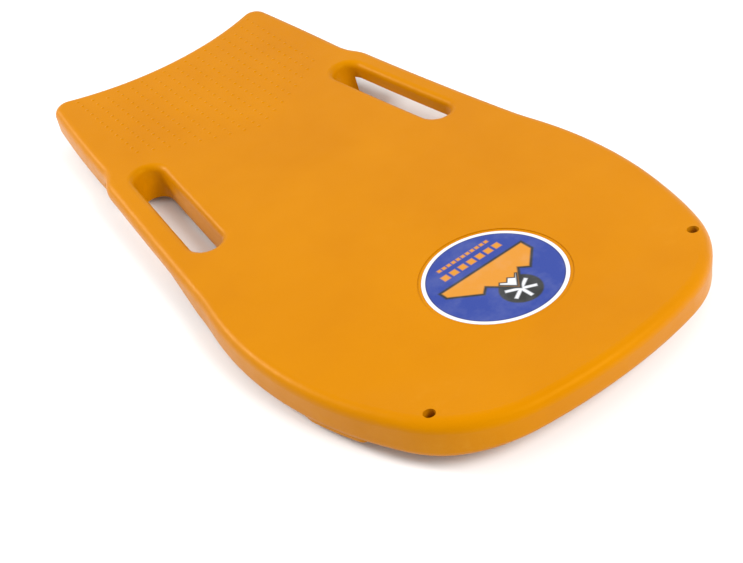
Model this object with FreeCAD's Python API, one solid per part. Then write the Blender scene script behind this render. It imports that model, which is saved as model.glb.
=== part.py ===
# Prone snow sled: a hollow, double-walled blow-moulded board with two hand slots,
# two rope holes at the nose, grip bumps on the tail deck and a round badge on the nose deck.
# X is across the board, -Y the nose, +Y the tail, +Z up. The origin is the centre of the
# footprint, on the surface that the board stands on. All lengths are in millimetres.
import FreeCAD
import Part
import math
import os

V = FreeCAD.Vector

# ---- overall size -------------------------------------------------------------------
BOARD_DEPTH = 44.0          # deck to hull, without the runners
RUNNER_HEIGHT = 5.0         # how far the runners stand below the hull
ROCKER_RADIUS = 5720.0      # side-view arc that lifts nose and tail off the ground
ROCKER_LOW_Y = -21.0        # where the arc is lowest
WALL = 3.2                  # deck and hull skins
SIDE_WALL = 6.5             # side walls, thicker so that the rounded rims stay covered

# ---- plan outline, right-hand half: bends (radius, turn in degrees) from the nose centre ----
NOSE_Y = -461.0
TAIL_TIP = 461.0
NOSE_BENDS = [(537.0, 11.7), (148.0, 52.4), (472.0, 37.2), (500.0, -4.8)]
HAND_BAR_LENGTH = 259.0     # the one straight stretch, along the hand bar
FLANK_BENDS = [(60.0, 22.0), (70.0, -24.0), (2500.0, 3.8)]
EAR_RADIUS = 22.0
TAIL_HOLLOW = 20.7          # angle by which the ears lean out of the hollow tail edge

# ---- edges --------------------------------------------------------------------------
DECK_RIM_RADIUS = 12.0
HULL_RIM_RADIUS = 9.0

# ---- turned-up nose panel -------------------------------------------------------------
CREASE_Y = -364.0           # crease across the board
CREASE_HALF_WIDTH = 113.0   # beyond this the crease runs back to the flanks
CREASE_CORNER_SLOPE = 0.59
NOSE_PANEL_RISE = 0.055     # rise per millimetre beyond the crease
CREASE_SOFTNESS = 3.0

# ---- underside ------------------------------------------------------------------------
NOSE_LIFT = 12.0            # extra lift of the hull at the very nose
NOSE_LIFT_LENGTH = 80.0
TAIL_LIFT = 3.0             # extra lift of the hull at the very tail
TAIL_LIFT_LENGTH = 150.0
RUNNERS = [                 # middle line, width, back end
    (0.0, 34.0, 345.0),
    (118.0, 34.0, 345.0), (-118.0, 34.0, 345.0),
    (230.0, 34.0, -85.0), (-230.0, 34.0, -85.0),
]
RUNNER_FRONT = -412.0       # the outer pair is cut short by the outline
RUNNER_INSET = 3.0          # from the outline
RUNNER_ROOT = 3.0           # how far a runner reaches into the hull skin
RUNNER_END_RADIUS = 9.0     # round ends, in plan
RUNNER_RIM_RADIUS = 3.0

# ---- hand slots -----------------------------------------------------------------------
SLOT_WIDTH = 41.0
SLOT_NOSE = (180.5, 44.0)   # centre of the round end towards the nose
SLOT_TAIL = (163.0, 203.0)  # centre of the round end towards the tail, at the hull
SLOT_TAIL_LEAN = 8.0        # how far the tail end leans back on its way up to the deck
SLOT_RIM_RADIUS = 9.0
BAR_HEIGHT = 22.0           # deck to the underside of the hand bar
BAR_RIM_RADIUS = 6.0        # underside of the bar, on the outside
RELIEF_TAIL_Y = 272.0       # foot of the tail skirt
RELIEF_NOSE_Y = 20.0        # where the underside starts down to the hull again
RELIEF_RAMP_Y = -95.0       # where it has reached the hull
RELIEF_OVERLAP = 3.0        # how far the space under the bar reaches into the slot
SKIRT_FOOT_RADIUS = 9.0     # lower front edge of the tail skirt
SKIRT_CORNER_RADIUS = 8.0   # where the skirt meets the underside of the bar

# ---- rope holes -----------------------------------------------------------------------
ROPE_HOLE = (185.0, -382.0)
ROPE_HOLE_DIAMETER = 13.0
ROPE_SLEEVE_WALL = 4.0

# ---- badge ----------------------------------------------------------------------------
BADGE_Y = -270.5
BADGE_DIAMETER = 160.0
BADGE_THICKNESS = 0.4
RECESS_DIAMETER = 169.0
RECESS_DEPTH = 1.0

# ---- grip bumps -----------------------------------------------------------------------
BUMP_DIAMETER = 5.0
BUMP_HEIGHT = 0.9
BUMP_COLUMNS = 8            # to either side of the middle column
BUMP_COLUMN_PITCH = 18.2
BUMP_ROW_PITCH = 14.0
BUMP_FIRST_Y = 194.0
BUMP_BOW = 78.0 / 16.0 ** 2
BUMP_EDGE_MARGIN = 17.0

# ---- parting line, depth below the deck at stations along the board ----------------------
PARTING = [
    (-500.0, 33.0), (-250.0, 33.0), (-90.0, 29.0), (30.0, 12.5),
    (225.0, 12.5), (320.0, 17.0), (500.0, 18.0),
]

REACH = 300.0               # half-width of every cutting tool, past both flanks
BOTTOM = -20.0              # lower and upper level of every upright cutting tool
TOP = 140.0


def rocker(y):
    return (y - ROCKER_LOW_Y) ** 2 / (2.0 * ROCKER_RADIUS)


def soft_positive(d, softness):
    """d where it is well above zero, 0 where it is well below, with a round bend between."""
    return 0.5 * (d + math.sqrt(d * d + 4.0 * softness * softness))


def deck_z(x, y):
    corner = CREASE_CORNER_SLOPE * max(0.0, abs(x) - CREASE_HALF_WIDTH)
    past_crease = soft_positive(CREASE_Y + corner - y, CREASE_SOFTNESS)
    return RUNNER_HEIGHT + BOARD_DEPTH + rocker(y) + NOSE_PANEL_RISE * past_crease


def relief_z(x, y):
    """Underside of the hand bars."""
    return RUNNER_HEIGHT + BOARD_DEPTH - BAR_HEIGHT + rocker(y)


def hull_z(x, y):
    nose = max(0.0, (NOSE_Y + NOSE_LIFT_LENGTH - y) / NOSE_LIFT_LENGTH)
    tail = max(0.0, (y - TAIL_TIP + TAIL_LIFT_LENGTH) / TAIL_LIFT_LENGTH)
    return RUNNER_HEIGHT + rocker(y) + NOSE_LIFT * nose ** 2 + TAIL_LIFT * tail ** 2


def stations(start, stop, step):
    count = int(round((stop - start) / step))
    return [start + (stop - start) * i / count for i in range(count + 1)]


def block_above(height, xs, ys, offset, rise):
    """Solid between the height surface moved by offset and the same surface a rise away."""
    grid = [[V(x, y, height(x, y) + offset) for y in ys] for x in xs]
    surface = Part.BSplineSurface()
    surface.interpolate(grid)
    return surface.toShape().extrude(V(0, 0, rise))


XS = stations(-REACH, REACH, 24.0)
DECK_YS = stations(-500.0, -410.0, 30.0) + stations(-398.0, -290.0, 9.0) + stations(-260.0, 500.0, 40.0)
HULL_XS = [-REACH, -100.0, 100.0, REACH]
HULL_YS = stations(-500.0, 500.0, 25.0)


def above_deck(offset=0.0):
    return block_above(deck_z, XS, DECK_YS, offset, 200.0)


def below_hull(offset=0.0):
    return block_above(hull_z, HULL_XS, HULL_YS, offset, -200.0)


def prism(edges):
    face = Part.Face(Part.Wire(edges))
    face.translate(V(0, 0, BOTTOM))
    return face.extrude(V(0, 0, TOP - BOTTOM))


def bend(start, heading, radius, turn):
    """Arc that leaves start along heading and turns by an angle; positive turns are to the left."""
    side = math.copysign(1.0, turn)
    centre = start + V(-math.sin(heading), math.cos(heading), 0) * radius * side

    def at(angle):
        return centre + V(math.sin(angle), -math.cos(angle), 0) * radius * side

    middle, end = at(heading + turn / 2.0), at(heading + turn)
    return Part.Arc(start, middle, end).toShape(), end, heading + turn


def half_outline():
    """Edges of the right-hand half, each tangent to the one before."""
    place, heading, edges = V(0, NOSE_Y, 0), 0.0, []
    for radius, turn in NOSE_BENDS:
        edge, place, heading = bend(place, heading, radius, math.radians(turn))
        edges.append(edge)
    end = place + V(math.cos(heading), math.sin(heading), 0) * HAND_BAR_LENGTH
    edges.append(Part.LineSegment(place, end).toShape())
    place = end
    for radius, turn in FLANK_BENDS:
        edge, place, heading = bend(place, heading, radius, math.radians(turn))
        edges.append(edge)
    hollow = math.radians(TAIL_HOLLOW)
    edge, place, heading = bend(place, heading, EAR_RADIUS, math.pi + hollow - heading)
    edges.append(edge)
    edge, place, heading = bend(place, heading, place.x / math.sin(hollow), -hollow)
    edges.append(edge)
    return edges


def plan_face(inset=0.0):
    """Outline of the board as a flat face, drawn in by an inset."""
    half = half_outline()
    other = [e.mirror(V(0, 0, 0), V(1, 0, 0)) for e in half]
    wire = Part.Wire(Part.__sortEdges__(half + other))
    if inset:
        wire = wire.makeOffset2D(-inset)
    return Part.Face(wire)


def plan_prism(inset=0.0):
    face = plan_face(inset)
    face.translate(V(0, 0, BOTTOM))
    return face.extrude(V(0, 0, TOP - BOTTOM))


def stadium_wire(first, last, radius, level):
    """Outline of a slot with round ends."""
    a, b = V(first[0], first[1], level), V(last[0], last[1], level)
    along = (b - a).normalize()
    across = V(-along.y, along.x, 0) * radius
    return Part.Wire([
        Part.LineSegment(a - across, b - across).toShape(),
        Part.Arc(b - across, b + along * radius, b + across).toShape(),
        Part.LineSegment(b + across, a + across).toShape(),
        Part.Arc(a + across, a - along * radius, a - across).toShape(),
    ])


def slot_cutter(side, grow=0.0):
    """Hand slot: upright walls, and a tail end that leans back as it rises to the deck."""
    radius = SLOT_WIDTH / 2.0 + grow
    nose = (side * SLOT_NOSE[0], SLOT_NOSE[1])
    axis = V(SLOT_TAIL[0] - SLOT_NOSE[0], SLOT_TAIL[1] - SLOT_NOSE[1], 0).normalize()
    foot = RUNNER_HEIGHT + rocker(SLOT_TAIL[1])
    wires = []
    for level in (BOTTOM, TOP):
        lean = axis * (SLOT_TAIL_LEAN * (level - foot) / BOARD_DEPTH)
        tail = (side * (SLOT_TAIL[0] + lean.x), SLOT_TAIL[1] + lean.y)
        wires.append(stadium_wire(nose, tail, radius, level))
    return Part.makeLoft(wires, True, True)


def relief_cutter(side, grow=0.0):
    """Space under the hand bar, open to the flank, ramped down to the hull at the nose end."""
    diagonal = math.sqrt(0.5)
    foot_radius = SKIRT_FOOT_RADIUS - grow
    foot_y = RELIEF_TAIL_Y + SKIRT_FOOT_RADIUS
    foot = V(0, foot_y, hull_z(0, RELIEF_TAIL_Y) + SKIRT_FOOT_RADIUS - 1.0)
    corner_radius = SKIRT_CORNER_RADIUS + grow
    slope = (RELIEF_TAIL_Y - SKIRT_CORNER_RADIUS - ROCKER_LOW_Y) / ROCKER_RADIUS
    corner_y = RELIEF_TAIL_Y - SKIRT_CORNER_RADIUS
    corner_z = relief_z(0, corner_y - slope * SKIRT_CORNER_RADIUS) - SKIRT_CORNER_RADIUS
    corner = V(0, corner_y, corner_z)
    roof_normal = V(0, -slope, 1).normalize()
    roof_start = corner + roof_normal * corner_radius
    roof_end = V(0, RELIEF_NOSE_Y, relief_z(0, RELIEF_NOSE_Y) + grow)
    middle_y = (roof_start.y + roof_end.y) / 2.0
    ramp_end = V(0, RELIEF_RAMP_Y - 3.0 * grow, -6.0)
    under_ramp = V(0, ramp_end.y, BOTTOM)
    under_foot = V(0, foot_y, BOTTOM)
    foot_low = foot - V(0, 0, foot_radius)
    foot_front = foot - V(0, foot_radius, 0)
    corner_back = corner + V(0, corner_radius, 0)
    edges = [
        Part.LineSegment(under_foot, foot_low).toShape(),
        Part.Arc(foot_low, foot - V(0, 1, 1) * (diagonal * foot_radius), foot_front).toShape(),
        Part.LineSegment(foot_front, corner_back).toShape(),
        Part.Arc(corner_back, corner + V(0, 1, 1) * (diagonal * corner_radius), roof_start).toShape(),
        Part.Arc(roof_start, V(0, middle_y, relief_z(0, middle_y) + grow), roof_end).toShape(),
        Part.LineSegment(roof_end, ramp_end).toShape(),
        Part.LineSegment(ramp_end, under_ramp).toShape(),
        Part.LineSegment(under_ramp, under_foot).toShape(),
    ]
    bar = Part.Face(Part.Wire(edges)).extrude(V(side * REACH, 0, 0))
    return bar.common(under_bar_side(side, grow))


def under_bar_side(side, grow):
    """Everything on the flank side of a line just inside the outer wall of the slot."""
    a, b = V(SLOT_NOSE[0], SLOT_NOSE[1], 0), V(SLOT_TAIL[0], SLOT_TAIL[1], 0)
    along = (b - a).normalize()
    outward = V(along.y, -along.x, 0) * (SLOT_WIDTH / 2.0 - RELIEF_OVERLAP - grow)
    corners = [a + outward - along * 400, b + outward + along * 400]
    corners += [V(REACH * 2, corners[1].y, 0), V(REACH * 2, corners[0].y, 0)]
    corners = [V(side * c.x, c.y, 0) for c in corners]
    edges = [Part.LineSegment(corners[i], corners[(i + 1) % 4]).toShape() for i in range(4)]
    return prism(edges)


def rope_cylinder(side, radius):
    return Part.makeCylinder(radius, TOP - BOTTOM, V(side * ROPE_HOLE[0], ROPE_HOLE[1], BOTTOM))


def edges_on(solid, height, test):
    """Edges that lie on a height surface and whose middle passes a test."""
    chosen = []
    for edge in solid.Edges:
        middle = edge.valueAt(0.5 * (edge.FirstParameter + edge.LastParameter))
        if abs(middle.z - height(middle.x, middle.y)) < 1.0 and test(middle):
            chosen.append(edge)
    return chosen


def runner(middle, width, back):
    """Straight rib under the hull with rounded ends; its sole is the rocker arc itself."""
    places = (RUNNER_FRONT, (RUNNER_FRONT + back) / 2.0, back)
    sole = [V(middle - width / 2.0, y, rocker(y)) for y in places]
    root = [p + V(0, 0, RUNNER_HEIGHT + RUNNER_ROOT) for p in sole]
    edges = [
        Part.Arc(*sole).toShape(),
        Part.LineSegment(sole[2], root[2]).toShape(),
        Part.Arc(*reversed(root)).toShape(),
        Part.LineSegment(root[0], sole[0]).toShape(),
    ]
    rib = Part.Face(Part.Wire(edges)).extrude(V(width, 0, 0))
    rib = rib.common(plan_prism(RUNNER_INSET)).Solids[0]
    posts = [e for e in rib.Edges if max(e.BoundBox.XLength, e.BoundBox.YLength) < 0.01]
    rib = rib.makeFillet(RUNNER_END_RADIUS, posts)
    return rib.makeFillet(RUNNER_RIM_RADIUS, edges_on(rib, lambda x, y: rocker(y), lambda p: True))


def outer_body():
    """The board as one closed form: outline, deck, hull, slots, bars and every round edge."""
    rim = plan_face().OuterWire

    def at_rim(point):
        return rim.distToShape(Part.Vertex(V(point.x, point.y, 0)))[0] < 0.5

    def at_slot(point):
        return abs(point.x) < 200.0 and 0.0 < point.y < 260.0

    def at_bar(point):
        return RELIEF_NOSE_Y + 1.0 < point.y < RELIEF_TAIL_Y - 1.0 and at_rim(point)

    body = plan_prism().cut([above_deck(), below_hull(), slot_cutter(1), slot_cutter(-1)])
    body = body.makeFillet(SLOT_RIM_RADIUS, edges_on(body, deck_z, at_slot))
    body = body.makeFillet(DECK_RIM_RADIUS, edges_on(body, deck_z, at_rim))
    body = body.makeFillet(HULL_RIM_RADIUS, edges_on(body, hull_z, at_rim))
    body = body.cut([relief_cutter(1), relief_cutter(-1)]).Solids[0]
    body = body.makeFillet(BAR_RIM_RADIUS, edges_on(body, relief_z, at_bar))
    for side in (1, -1):
        body = body.cut(rope_cylinder(side, ROPE_HOLE_DIAMETER / 2.0))
    return body.Solids[0]


def cavity():
    """Air space inside the board, between the skins and around the slots and sleeves."""
    space = plan_prism(SIDE_WALL).cut([above_deck(-WALL), below_hull(WALL)])
    tools = []
    for side in (1, -1):
        tools.append(slot_cutter(side, WALL))
        tools.append(relief_cutter(side, WALL))
        tools.append(rope_cylinder(side, ROPE_HOLE_DIAMETER / 2.0 + ROPE_SLEEVE_WALL))
    return space.cut(tools)


def below_parting():
    points = [V(-REACH, y, RUNNER_HEIGHT + BOARD_DEPTH + rocker(y) - depth) for y, depth in PARTING]
    line = Part.BSplineCurve()
    line.interpolate(Points=points)
    wall = line.toShape().extrude(V(0, 0, -150.0))
    return wall.extrude(V(2.0 * REACH, 0, 0))


def badge_disc(radius, bottom, top):
    """Disc under the deck surface, between two depths."""
    disc = Part.makeCylinder(radius, TOP - BOTTOM, V(0, BADGE_Y, BOTTOM))
    return disc.cut([above_deck(top), below_deck(bottom)])


def below_deck(offset):
    return block_above(deck_z, XS, DECK_YS, offset, -200.0)


def grip_bumps():
    """Low domes in staggered columns, from a bowed V on the nose side up to the tail edge."""
    rim = plan_face().OuterWire
    ball = (BUMP_DIAMETER ** 2 / 4.0 + BUMP_HEIGHT ** 2) / (2.0 * BUMP_HEIGHT)
    base_angle = math.degrees(math.asin(1.0 - BUMP_HEIGHT / ball))
    domes = []
    for column in range(-BUMP_COLUMNS, BUMP_COLUMNS + 1):
        x = column * BUMP_COLUMN_PITCH
        y = BUMP_FIRST_Y + BUMP_BOW * column ** 2 + 0.5 * abs(column) * BUMP_ROW_PITCH
        while y < TAIL_TIP and rim.distToShape(Part.Vertex(V(x, y, 0)))[0] > BUMP_EDGE_MARGIN:
            upright = V(0, -(y - ROCKER_LOW_Y) / ROCKER_RADIUS, 1).normalize()
            centre = V(x, y, deck_z(x, y)) - upright * (ball - BUMP_HEIGHT)
            domes.append(Part.makeSphere(ball, centre, upright, base_angle, 90))
            y += BUMP_ROW_PITCH
    return domes


def write(name, shape, count=1):
    """Export one node, after checking that it holds the expected number of closed solids."""
    solids = shape.Solids
    if len(solids) != count or not shape.isValid():
        raise ValueError(f"{name}: expected {count} valid solids, got {len(solids)}")
    shape = solids[0] if count == 1 else shape
    shape.exportStep(f"parts/{name}.step")
    print(f"{name}: {shape.Volume / 1000.0:.1f} cm3, {len(shape.Faces)} faces")


os.makedirs("parts", exist_ok=True)
board = outer_body().cut([cavity(), badge_disc(RECESS_DIAMETER / 2.0, -RECESS_DEPTH, 5.0)])
lower = below_parting()
bumps = grip_bumps()
write("deck_shell", board.cut(lower))
write("hull_shell", board.common(lower).fuse([runner(*r) for r in RUNNERS]))
write("nose_badge", badge_disc(BADGE_DIAMETER / 2.0, -RECESS_DEPTH, BADGE_THICKNESS - RECESS_DEPTH))
write("grip_bumps", Part.makeCompound(bumps), len(bumps))
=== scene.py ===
"""Prone snow sled: looks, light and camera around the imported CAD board."""
import bpy
import math
from mathutils import Matrix, Vector


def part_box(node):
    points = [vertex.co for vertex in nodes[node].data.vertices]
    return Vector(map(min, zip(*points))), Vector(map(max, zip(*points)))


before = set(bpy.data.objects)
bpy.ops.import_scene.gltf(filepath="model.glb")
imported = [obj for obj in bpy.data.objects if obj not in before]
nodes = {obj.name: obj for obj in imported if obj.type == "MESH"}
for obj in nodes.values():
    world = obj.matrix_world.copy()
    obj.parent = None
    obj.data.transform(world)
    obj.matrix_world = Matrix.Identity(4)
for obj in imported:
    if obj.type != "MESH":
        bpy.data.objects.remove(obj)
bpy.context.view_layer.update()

# ---- colours, linear ------------------------------------------------------------------
DECK_ORANGE = (0.465, 0.169, 0.0)
DECK_SHADE = (0.438, 0.154, 0.0)
SCUFF = (0.56, 0.27, 0.03)
SHEEN_TINT = (1.0, 0.50, 0.03, 1.0)
BADGE_BLUE = (0.004, 0.026, 0.215)
BADGE_EDGE_BLUE = (0.002, 0.008, 0.12)
BADGE_WHITE = (0.60, 0.61, 0.64)
BADGE_ORANGE = (0.50, 0.19, 0.001)
BADGE_BLACK = (0.004, 0.005, 0.004)

# ---- plastic --------------------------------------------------------------------------
DECK_ROUGHNESS = 0.35
HULL_ROUGHNESS = 0.32
DECK_GRAIN = 0.8            # strength of the mould grain
HULL_GRAIN = 0.5
PLASTIC_IOR = 1.5
PLASTIC_SHEEN = 0.14
GRAIN_DEPTH = 0.00012       # metres
WAVE_DEPTH = 0.0012

# ---- badge artwork, in badge radii ------------------------------------------------------
EDGE_BLUR = 0.012
ROUNDEL_PLACE = (0.04, 0.47)
ROUNDEL_RADIUS = 0.30
FLAKE_REACH = 0.215
FLAKE_ARM = 0.024           # half-width of an arm
BADGE_DUST = (0.55, 0.57, 0.62)

# ---- light ------------------------------------------------------------------------------
SKY_STRENGTH = 0.80
BACK_LIGHT_PLACE = (-1.7, 2.3, 1.8)
BACK_LIGHT_SIZE = (1.2, 0.7)
BACK_LIGHT_WATTS = 95.0
FRONT_LIGHT_PLACE = (0.9, -2.4, 2.3)
FRONT_LIGHT_SIZE = (1.8, 1.4)
FRONT_LIGHT_WATTS = 112.0
FLOOR_HALF_SIZE = 9.0

# ---- camera: the view of the reference picture ------------------------------------------
CAMERA_PLACE = Vector((-0.61782, -1.05398, 0.88903))
CAMERA_RIGHT = Vector((0.778993, -0.608144, -0.152745))
CAMERA_DOWN = Vector((-0.486775, -0.432974, -0.758672))
FOCAL_PIXELS = 1206.8
IMAGE_WIDTH = 743.0
SENSOR_WIDTH = 36.0


def camera():
    data = bpy.data.cameras.new("camera")
    data.sensor_width = SENSOR_WIDTH
    data.lens = FOCAL_PIXELS / IMAGE_WIDTH * SENSOR_WIDTH
    data.clip_start = 0.01
    cam = bpy.data.objects.new("camera", data)
    bpy.context.collection.objects.link(cam)
    right = CAMERA_RIGHT.normalized()
    up = -CAMERA_DOWN.normalized()
    back = right.cross(up).normalized()
    up = back.cross(right)
    turn = Matrix((right, up, back)).transposed().to_4x4()
    cam.matrix_world = Matrix.Translation(CAMERA_PLACE) @ turn
    bpy.context.scene.camera = cam


# ---- shader helpers ---------------------------------------------------------------------
class Graph:
    """Short names for the nodes of one material."""

    def __init__(self, name):
        self.material = bpy.data.materials.new(name)
        self.material.use_nodes = True
        self.tree = self.material.node_tree
        self.tree.nodes.clear()
        self.out = self.add("ShaderNodeOutputMaterial")
        self.shader = self.add("ShaderNodeBsdfPrincipled")
        self.link(self.shader.outputs[0], self.out.inputs[0])
        self.place = self.add("ShaderNodeTexCoord").outputs["Object"]

    def add(self, kind, **settings):
        node = self.tree.nodes.new(kind)
        for key, value in settings.items():
            setattr(node, key, value)
        return node

    def link(self, a, b):
        self.tree.links.new(a, b)

    def put(self, socket, value):
        if isinstance(value, bpy.types.NodeSocket):
            self.link(value, socket)
        else:
            socket.default_value = value

    def math(self, operation, *values):
        node = self.add("ShaderNodeMath", operation=operation)
        for socket, value in zip(node.inputs, values):
            self.put(socket, value)
        return node.outputs[0]

    def noise(self, scale, detail=2.0, roughness=0.5):
        node = self.add("ShaderNodeTexNoise")
        self.link(self.place, node.inputs["Vector"])
        node.inputs["Scale"].default_value = scale
        node.inputs["Detail"].default_value = detail
        node.inputs["Roughness"].default_value = roughness
        return node.outputs["Fac"]

    def ramp(self, value, low, high, out_low=0.0, out_high=1.0):
        node = self.add("ShaderNodeMapRange")
        self.put(node.inputs[0], value)
        for i, number in enumerate((low, high, out_low, out_high)):
            node.inputs[i + 1].default_value = number
        return node.outputs[0]

    def mix(self, factor, a, b):
        node = self.add("ShaderNodeMix", data_type="RGBA")
        self.put(node.inputs[0], factor)
        for socket, value in ((node.inputs[6], a), (node.inputs[7], b)):
            if isinstance(value, tuple):
                socket.default_value = (*value, 1.0)
            else:
                self.link(value, socket)
        return node.outputs[2]

    def bump(self, height, distance, strength=1.0, below=None):
        node = self.add("ShaderNodeBump")
        node.inputs["Distance"].default_value = distance
        node.inputs["Strength"].default_value = strength
        self.link(height, node.inputs["Height"])
        if below is not None:
            self.link(below, node.inputs["Normal"])
        return node.outputs[0]


def moulded_plastic(name, base, shade, roughness, grain):
    """Blow-moulded polyethylene: mould grain, slight waves, mottled colour, rubbed edges."""
    g = Graph(name)
    mottle = g.noise(9.0, 3.0)
    speckle = g.noise(900.0, 2.0, 0.7)
    colour = g.mix(g.ramp(mottle, 0.35, 0.7), base, shade)
    colour = g.mix(g.ramp(speckle, 0.45, 0.8, 0.0, 0.35), colour, tuple(c * 0.8 for c in base))
    rubbed = g.add("ShaderNodeNewGeometry").outputs["Pointiness"]
    patches = g.ramp(g.noise(60.0, 4.0, 0.65), 0.5, 0.75)
    wear = g.math("MULTIPLY", g.ramp(rubbed, 0.53, 0.60), patches)
    colour = g.mix(g.math("MULTIPLY", wear, 0.25), colour, SCUFF)
    g.link(colour, g.shader.inputs["Base Color"])
    rough = g.ramp(g.noise(35.0, 4.0, 0.6), 0.3, 0.7, roughness - 0.05, roughness + 0.06)
    g.link(rough, g.shader.inputs["Roughness"])
    waves = g.bump(g.noise(14.0, 2.0), WAVE_DEPTH, 0.5)
    pebbles = g.bump(g.noise(1400.0, 2.0, 0.6), GRAIN_DEPTH, grain, waves)
    g.link(pebbles, g.shader.inputs["Normal"])
    g.shader.inputs["IOR"].default_value = PLASTIC_IOR
    g.shader.inputs["Specular IOR Level"].default_value = PLASTIC_SHEEN
    g.shader.inputs["Specular Tint"].default_value = SHEEN_TINT
    return g.material


def dress(name, material):
    mesh = nodes[name].data
    mesh.materials.clear()
    mesh.materials.append(material)


deck_plastic = moulded_plastic("deck_plastic", DECK_ORANGE, DECK_SHADE, DECK_ROUGHNESS, DECK_GRAIN)
hull_plastic = moulded_plastic("hull_plastic", DECK_ORANGE, DECK_SHADE, HULL_ROUGHNESS, HULL_GRAIN)
dress("deck_shell", deck_plastic)
dress("grip_bumps", deck_plastic)
dress("hull_shell", hull_plastic)


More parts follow.
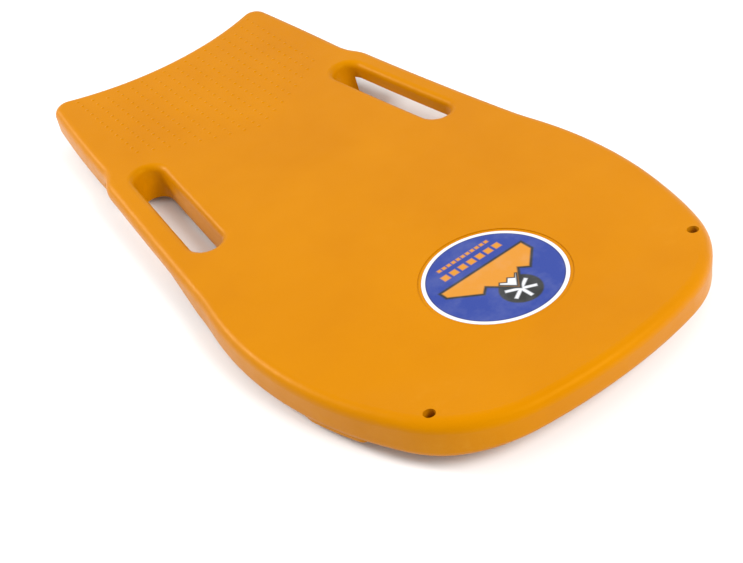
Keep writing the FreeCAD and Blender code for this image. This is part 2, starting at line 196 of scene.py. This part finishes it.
# ---- badge ------------------------------------------------------------------------------
def badge_material():
    """Printed vinyl: blue field, white ring, peaks, a snowflake and two rows of dashes."""
    g = Graph("badge_print")
    low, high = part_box("nose_badge")
    centre = [(low[i] + high[i]) / 2.0 for i in range(3)]
    radius = (high[0] - low[0]) / 2.0
    split = g.add("ShaderNodeSeparateXYZ")
    g.link(g.place, split.inputs[0])
    # u runs across the badge and v towards the nose, both in badge radii
    u = g.math("DIVIDE", g.math("SUBTRACT", split.outputs[0], centre[0]), radius)
    v = g.math("DIVIDE", g.math("SUBTRACT", centre[1], split.outputs[1]), radius)
    reach = g.math("SQRT", g.math("ADD", g.math("MULTIPLY", u, u), g.math("MULTIPLY", v, v)))

    def inside(distance, offset=0.0):
        """1 where a signed distance is below the offset."""
        return g.ramp(distance, offset - EDGE_BLUR, offset + EDGE_BLUR, 1.0, 0.0)

    def peak(at, top, slope):
        """Signed distance below the two flanks of a peak."""
        run = g.math("ABSOLUTE", g.math("SUBTRACT", u, at))
        fall = g.math("ADD", g.math("MULTIPLY", run, slope), g.math("SUBTRACT", v, top))
        return g.math("DIVIDE", fall, math.hypot(1.0, slope))

    def disc(at_u, at_v, size):
        run, rise = g.math("SUBTRACT", u, at_u), g.math("SUBTRACT", v, at_v)
        square = g.math("ADD", g.math("MULTIPLY", run, run), g.math("MULTIPLY", rise, rise))
        return g.math("SUBTRACT", g.math("SQRT", square), size), run, rise

    # dark roundel with a six-armed snowflake
    roundel, run, rise = disc(*ROUNDEL_PLACE, ROUNDEL_RADIUS)
    colour = g.mix(inside(roundel), BADGE_BLUE, BADGE_BLACK)
    flake = None
    for arm in range(3):
        angle = math.radians(30.0 + 60.0 * arm)
        along_run = g.math("MULTIPLY", run, math.sin(angle))
        along_rise = g.math("MULTIPLY", rise, math.cos(angle))
        side = g.math("SUBTRACT", along_run, along_rise)
        side = g.math("SUBTRACT", g.math("ABSOLUTE", side), FLAKE_ARM)
        flake = side if flake is None else g.math("MINIMUM", flake, side)
    flake = g.math("MAXIMUM", flake, disc(*ROUNDEL_PLACE, FLAKE_REACH)[0])
    colour = g.mix(inside(flake), colour, BADGE_WHITE)
    # orange range of three peaks with a black outline and a snow cap
    peaks = [peak(-0.36, 0.16, 0.85), peak(0.05, 0.42, 1.25), peak(0.44, 0.20, 0.95)]
    bounds = g.math("SUBTRACT", g.math("ABSOLUTE", u), 0.72)
    foot = g.math("SUBTRACT", -0.26, v)
    hills = g.math("MINIMUM", g.math("MINIMUM", peaks[0], peaks[1]), peaks[2])
    hills = g.math("MAXIMUM", g.math("MAXIMUM", hills, foot), bounds)
    colour = g.mix(inside(hills, 0.04), colour, BADGE_BLACK)
    colour = g.mix(inside(hills), colour, BADGE_ORANGE)
    zigzag = g.math("PINGPONG", u, 0.07)
    snow_line = g.math("SUBTRACT", g.math("SUBTRACT", 0.22, zigzag), v)
    cap = g.math("MAXIMUM", peaks[1], snow_line)
    colour = g.mix(inside(cap), colour, BADGE_BLACK)
    colour = g.mix(inside(cap, -0.03), colour, BADGE_WHITE)
    for row, half, pitch, span in ((-0.48, 0.055, 0.155, 0.54), (-0.66, 0.028, 0.085, 0.465)):
        wave = g.math("PINGPONG", u, pitch / 2.0)
        wave = g.math("SUBTRACT", wave, pitch * 0.34)
        bar = g.math("SUBTRACT", g.math("ABSOLUTE", g.math("SUBTRACT", v, row)), half)
        dash = g.math("MAXIMUM", bar, wave)
        dash = g.math("MAXIMUM", dash, g.math("SUBTRACT", g.math("ABSOLUTE", u), span))
        colour = g.mix(inside(dash), colour, BADGE_ORANGE)
    colour = g.mix(g.ramp(reach, 0.925, 0.935), colour, BADGE_EDGE_BLUE)
    colour = g.mix(g.ramp(reach, 0.942, 0.950), colour, BADGE_WHITE)
    dusty = g.ramp(g.noise(45.0, 4.0, 0.6), 0.45, 0.8, 0.0, 0.06)
    colour = g.mix(dusty, colour, BADGE_DUST)
    g.link(colour, g.shader.inputs["Base Color"])
    g.link(g.ramp(g.noise(70.0, 3.0), 0.3, 0.7, 0.30, 0.42), g.shader.inputs["Roughness"])
    film = g.bump(g.noise(160.0, 2.0), 0.0001, 0.35)
    g.link(film, g.shader.inputs["Normal"])
    g.shader.inputs["Coat Weight"].default_value = 0.2
    g.shader.inputs["Coat Roughness"].default_value = 0.25
    return g.material


dress("nose_badge", badge_material())


# ---- floor and light -----------------------------------------------------------------------
def floor():
    size = FLOOR_HALF_SIZE
    mesh = bpy.data.meshes.new("floor")
    corners = [(-size, -size, 0), (size, -size, 0), (size, size, 0), (-size, size, 0)]
    mesh.from_pydata(corners, [], [(0, 1, 2, 3)])
    plane = bpy.data.objects.new("floor", mesh)
    bpy.context.collection.objects.link(plane)
    g = Graph("floor")
    tint = g.ramp(g.noise(3.0, 2.0), 0.3, 0.7, 0.80, 0.82)
    colour = g.add("ShaderNodeCombineColor")
    for socket in colour.inputs[:3]:
        g.link(tint, socket)
    g.link(colour.outputs[0], g.shader.inputs["Base Color"])
    g.shader.inputs["Roughness"].default_value = 0.9
    mesh.materials.append(g.material)


def area_light(name, place, size, power):
    """White rectangular lamp aimed at the middle of the board's footprint."""
    data = bpy.data.lights.new(name, "AREA")
    data.shape = "RECTANGLE"
    data.size, data.size_y = size
    data.energy = power
    lamp = bpy.data.objects.new(name, data)
    bpy.context.collection.objects.link(lamp)
    lamp.location = place
    aim = -Vector(place)
    lamp.rotation_euler = aim.to_track_quat("-Z", "Y").to_euler()


def lights():
    world = bpy.data.worlds.new("studio")
    bpy.context.scene.world = world
    world.use_nodes = True
    sky = world.node_tree.nodes["Background"]
    sky.inputs[0].default_value = (1.0, 1.0, 1.0, 1.0)
    sky.inputs[1].default_value = SKY_STRENGTH
    area_light("back_left", BACK_LIGHT_PLACE, BACK_LIGHT_SIZE, BACK_LIGHT_WATTS)
    area_light("front", FRONT_LIGHT_PLACE, FRONT_LIGHT_SIZE, FRONT_LIGHT_WATTS)


camera()
floor()
lights()

scene = bpy.context.scene
scene.view_settings.view_transform = "Standard"
